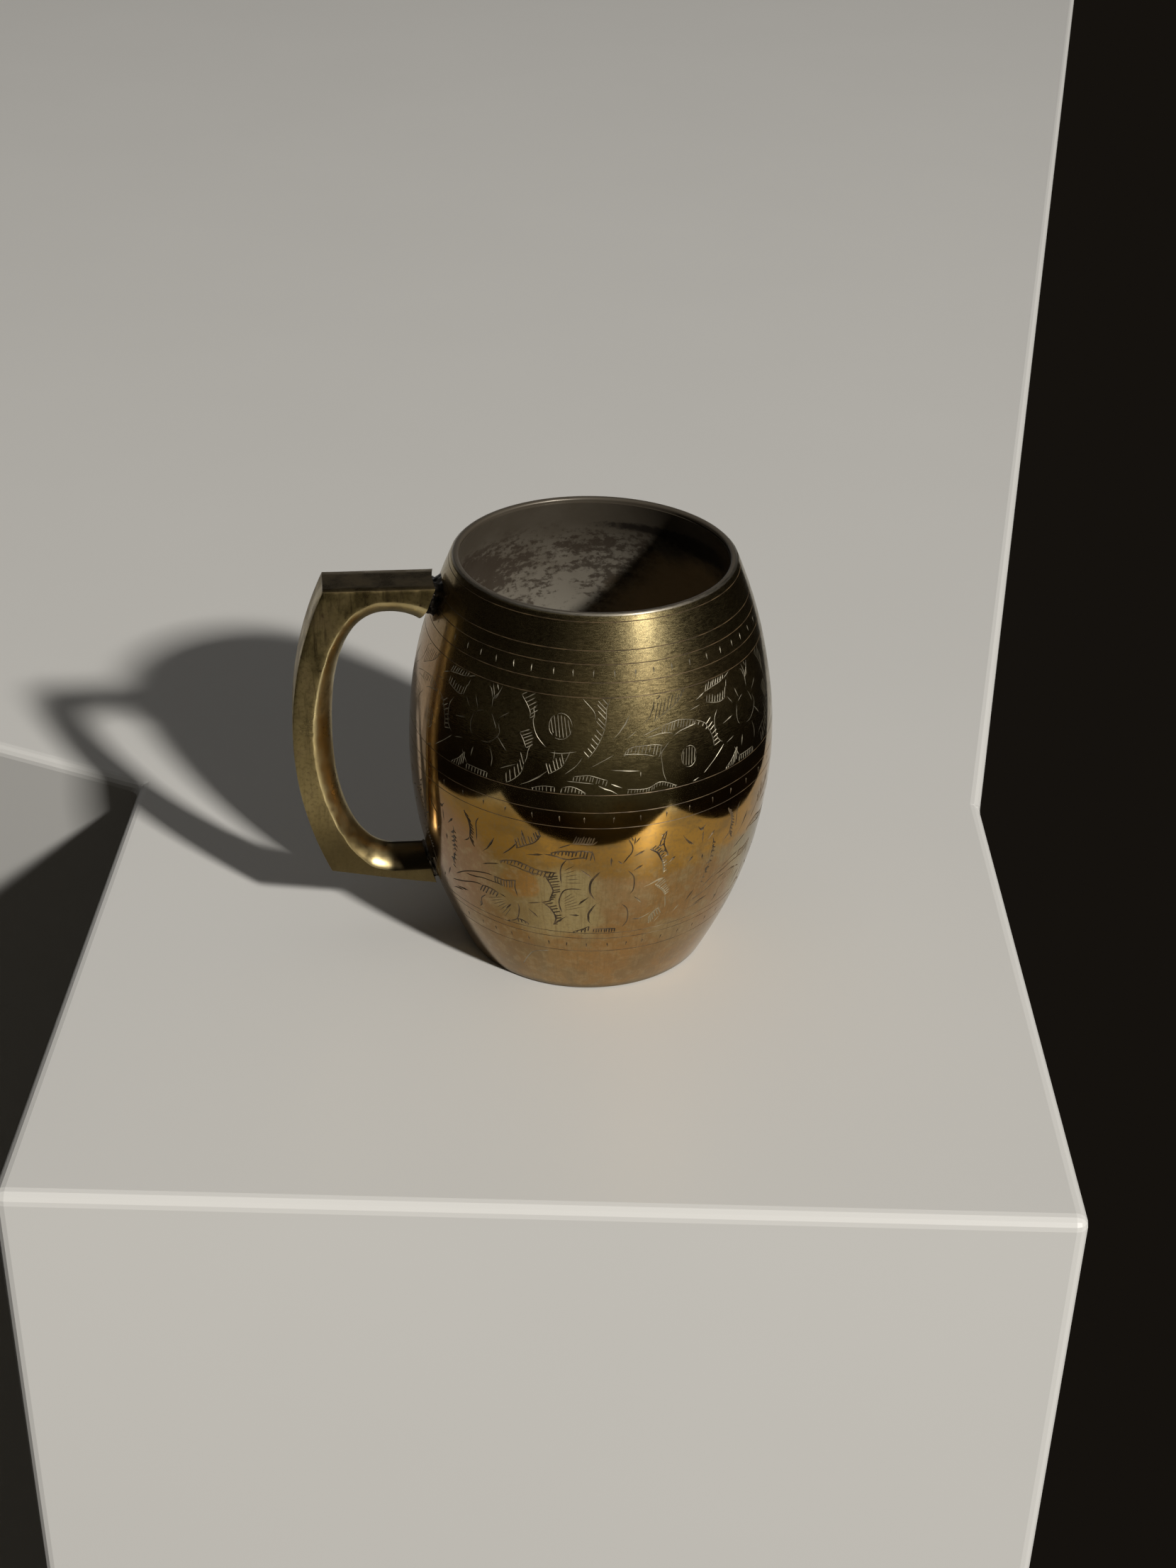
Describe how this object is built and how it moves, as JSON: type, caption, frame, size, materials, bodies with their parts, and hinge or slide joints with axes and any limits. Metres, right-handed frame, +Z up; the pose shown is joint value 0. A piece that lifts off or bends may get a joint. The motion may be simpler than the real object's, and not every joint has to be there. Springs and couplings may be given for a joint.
{
  "type": "metal mug",
  "caption": "Barrel-shaped brass drinking mug with a tinned inside, an engraved floral outside and a flat-sided cast handle soldered on at both ends.",
  "frame": {"origin": "centre of the base's underside, on the barrel's axis", "axes": "+Z up the barrel's axis to the rim, -X from the barrel out along the handle, Y across the handle"},
  "size_m": [0.1206, 0.0918, 0.107],
  "materials": {
    "spun_brass": "polished, engraved and tarnished in patches",
    "base_brass": "turned and dulled",
    "base_solder": "dull soft solder",
    "tin": "wiped tin, stained",
    "cast_brass": "cast, filed flat on the sides and polished on the finger side",
    "upper_solder": "blackened soft solder",
    "lower_solder": "grey soft solder"
  },
  "bodies": {
    "root": {"barrel_shell": "spun_brass", "base_disc": "base_brass", "base_solder_ring": "base_solder", "tin_lining": "tin", "handle": "cast_brass", "upper_handle_solder": "upper_solder", "lower_handle_solder": "lower_solder"}
  },
  "joints": []
}
